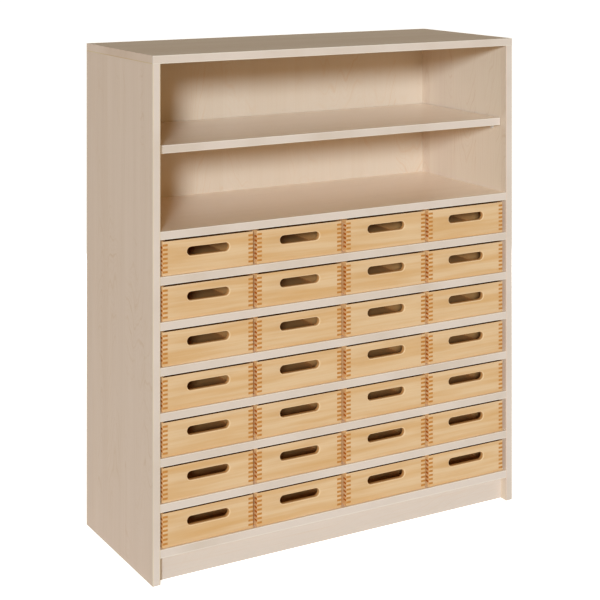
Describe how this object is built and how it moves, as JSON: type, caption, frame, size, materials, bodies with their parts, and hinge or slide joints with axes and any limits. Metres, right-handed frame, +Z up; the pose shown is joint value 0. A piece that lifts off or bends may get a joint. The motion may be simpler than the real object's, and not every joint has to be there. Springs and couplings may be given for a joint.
{
  "type": "multi-drawer cabinet",
  "caption": "Free-standing wooden cabinet with an open compartment and an adjustable shelf above rows of small finger-jointed pull-out drawers with long hand slots.",
  "frame": {"origin": "on the floor, under the middle of the cabinet", "axes": "+X to the right as seen from the front, +Y to the back, +Z up; the drawers pull out along -Y"},
  "size_m": [1.02, 0.4, 1.2],
  "materials": {
    "carcass_board": "satin maple-coloured laminate on board",
    "edge_band": "satin pale edge band",
    "guide_wood": "plain planed wood",
    "drawer_wood": "clear lacquered wood with darker end grain",
    "pin_metal": "zinc plated"
  },
  "bodies": {
    "carcass": {"left_side_panel": "carcass_board", "right_side_panel": "carcass_board", "top_panel": "carcass_board", "back_panel": "carcass_board", "bottom_shelf": "carcass_board", "fixed_shelf": "carcass_board", "front_plinth": "carcass_board", "rear_plinth": "carcass_board", "shelf_under_row_1": "carcass_board", "shelf_under_row_2": "carcass_board", "shelf_under_row_3": "carcass_board", "shelf_under_row_4": "carcass_board", "shelf_under_row_5": "carcass_board", "shelf_under_row_6": "carcass_board", "guide_strips_row_1": "guide_wood", "guide_strips_row_2": "guide_wood", "guide_strips_row_3": "guide_wood", "guide_strips_row_4": "guide_wood", "guide_strips_row_5": "guide_wood", "guide_strips_row_6": "guide_wood", "guide_strips_row_7": "guide_wood", "side_panel_bands": "edge_band", "shelf_bands": "edge_band", "top_bands": "edge_band", "shelf_pins": "pin_metal"},
    "loose_shelf": {"loose_shelf": "carcass_board", "loose_shelf_band": "edge_band"},
    "drawer_1_1": {"drawer_row_1_column_1": "drawer_wood"},
    "drawer_1_2": {"drawer_row_1_column_2": "drawer_wood"},
    "drawer_1_3": {"drawer_row_1_column_3": "drawer_wood"},
    "drawer_1_4": {"drawer_row_1_column_4": "drawer_wood"},
    "drawer_2_1": {"drawer_row_2_column_1": "drawer_wood"},
    "drawer_2_2": {"drawer_row_2_column_2": "drawer_wood"},
    "drawer_2_3": {"drawer_row_2_column_3": "drawer_wood"},
    "drawer_2_4": {"drawer_row_2_column_4": "drawer_wood"},
    "drawer_3_1": {"drawer_row_3_column_1": "drawer_wood"},
    "drawer_3_2": {"drawer_row_3_column_2": "drawer_wood"},
    "drawer_3_3": {"drawer_row_3_column_3": "drawer_wood"},
    "drawer_3_4": {"drawer_row_3_column_4": "drawer_wood"},
    "drawer_4_1": {"drawer_row_4_column_1": "drawer_wood"},
    "drawer_4_2": {"drawer_row_4_column_2": "drawer_wood"},
    "drawer_4_3": {"drawer_row_4_column_3": "drawer_wood"},
    "drawer_4_4": {"drawer_row_4_column_4": "drawer_wood"},
    "drawer_5_1": {"drawer_row_5_column_1": "drawer_wood"},
    "drawer_5_2": {"drawer_row_5_column_2": "drawer_wood"},
    "drawer_5_3": {"drawer_row_5_column_3": "drawer_wood"},
    "drawer_5_4": {"drawer_row_5_column_4": "drawer_wood"},
    "drawer_6_1": {"drawer_row_6_column_1": "drawer_wood"},
    "drawer_6_2": {"drawer_row_6_column_2": "drawer_wood"},
    "drawer_6_3": {"drawer_row_6_column_3": "drawer_wood"},
    "drawer_6_4": {"drawer_row_6_column_4": "drawer_wood"},
    "drawer_7_1": {"drawer_row_7_column_1": "drawer_wood"},
    "drawer_7_2": {"drawer_row_7_column_2": "drawer_wood"},
    "drawer_7_3": {"drawer_row_7_column_3": "drawer_wood"},
    "drawer_7_4": {"drawer_row_7_column_4": "drawer_wood"}
  },
  "joints": [
    {"name": "loose_shelf_lift", "type": "slide", "parent": "carcass", "child": "loose_shelf", "axis": [0, 0, 1], "range_m": [0, 0.18]},
    {"name": "drawer_1_1_slide", "type": "slide", "parent": "carcass", "child": "drawer_1_1", "axis": [0, -1, 0], "range_m": [0, 0.36]},
    {"name": "drawer_1_2_slide", "type": "slide", "parent": "carcass", "child": "drawer_1_2", "axis": [0, -1, 0], "range_m": [0, 0.36]},
    {"name": "drawer_1_3_slide", "type": "slide", "parent": "carcass", "child": "drawer_1_3", "axis": [0, -1, 0], "range_m": [0, 0.36]},
    {"name": "drawer_1_4_slide", "type": "slide", "parent": "carcass", "child": "drawer_1_4", "axis": [0, -1, 0], "range_m": [0, 0.36]},
    {"name": "drawer_2_1_slide", "type": "slide", "parent": "carcass", "child": "drawer_2_1", "axis": [0, -1, 0], "range_m": [0, 0.36]},
    {"name": "drawer_2_2_slide", "type": "slide", "parent": "carcass", "child": "drawer_2_2", "axis": [0, -1, 0], "range_m": [0, 0.36]},
    {"name": "drawer_2_3_slide", "type": "slide", "parent": "carcass", "child": "drawer_2_3", "axis": [0, -1, 0], "range_m": [0, 0.36]},
    {"name": "drawer_2_4_slide", "type": "slide", "parent": "carcass", "child": "drawer_2_4", "axis": [0, -1, 0], "range_m": [0, 0.36]},
    {"name": "drawer_3_1_slide", "type": "slide", "parent": "carcass", "child": "drawer_3_1", "axis": [0, -1, 0], "range_m": [0, 0.36]},
    {"name": "drawer_3_2_slide", "type": "slide", "parent": "carcass", "child": "drawer_3_2", "axis": [0, -1, 0], "range_m": [0, 0.36]},
    {"name": "drawer_3_3_slide", "type": "slide", "parent": "carcass", "child": "drawer_3_3", "axis": [0, -1, 0], "range_m": [0, 0.36]},
    {"name": "drawer_3_4_slide", "type": "slide", "parent": "carcass", "child": "drawer_3_4", "axis": [0, -1, 0], "range_m": [0, 0.36]},
    {"name": "drawer_4_1_slide", "type": "slide", "parent": "carcass", "child": "drawer_4_1", "axis": [0, -1, 0], "range_m": [0, 0.36]},
    {"name": "drawer_4_2_slide", "type": "slide", "parent": "carcass", "child": "drawer_4_2", "axis": [0, -1, 0], "range_m": [0, 0.36]},
    {"name": "drawer_4_3_slide", "type": "slide", "parent": "carcass", "child": "drawer_4_3", "axis": [0, -1, 0], "range_m": [0, 0.36]},
    {"name": "drawer_4_4_slide", "type": "slide", "parent": "carcass", "child": "drawer_4_4", "axis": [0, -1, 0], "range_m": [0, 0.36]},
    {"name": "drawer_5_1_slide", "type": "slide", "parent": "carcass", "child": "drawer_5_1", "axis": [0, -1, 0], "range_m": [0, 0.36]},
    {"name": "drawer_5_2_slide", "type": "slide", "parent": "carcass", "child": "drawer_5_2", "axis": [0, -1, 0], "range_m": [0, 0.36]},
    {"name": "drawer_5_3_slide", "type": "slide", "parent": "carcass", "child": "drawer_5_3", "axis": [0, -1, 0], "range_m": [0, 0.36]},
    {"name": "drawer_5_4_slide", "type": "slide", "parent": "carcass", "child": "drawer_5_4", "axis": [0, -1, 0], "range_m": [0, 0.36]},
    {"name": "drawer_6_1_slide", "type": "slide", "parent": "carcass", "child": "drawer_6_1", "axis": [0, -1, 0], "range_m": [0, 0.36]},
    {"name": "drawer_6_2_slide", "type": "slide", "parent": "carcass", "child": "drawer_6_2", "axis": [0, -1, 0], "range_m": [0, 0.36]},
    {"name": "drawer_6_3_slide", "type": "slide", "parent": "carcass", "child": "drawer_6_3", "axis": [0, -1, 0], "range_m": [0, 0.36]},
    {"name": "drawer_6_4_slide", "type": "slide", "parent": "carcass", "child": "drawer_6_4", "axis": [0, -1, 0], "range_m": [0, 0.36]},
    {"name": "drawer_7_1_slide", "type": "slide", "parent": "carcass", "child": "drawer_7_1", "axis": [0, -1, 0], "range_m": [0, 0.36]},
    {"name": "drawer_7_2_slide", "type": "slide", "parent": "carcass", "child": "drawer_7_2", "axis": [0, -1, 0], "range_m": [0, 0.36]},
    {"name": "drawer_7_3_slide", "type": "slide", "parent": "carcass", "child": "drawer_7_3", "axis": [0, -1, 0], "range_m": [0, 0.36]},
    {"name": "drawer_7_4_slide", "type": "slide", "parent": "carcass", "child": "drawer_7_4", "axis": [0, -1, 0], "range_m": [0, 0.36]}
  ]
}
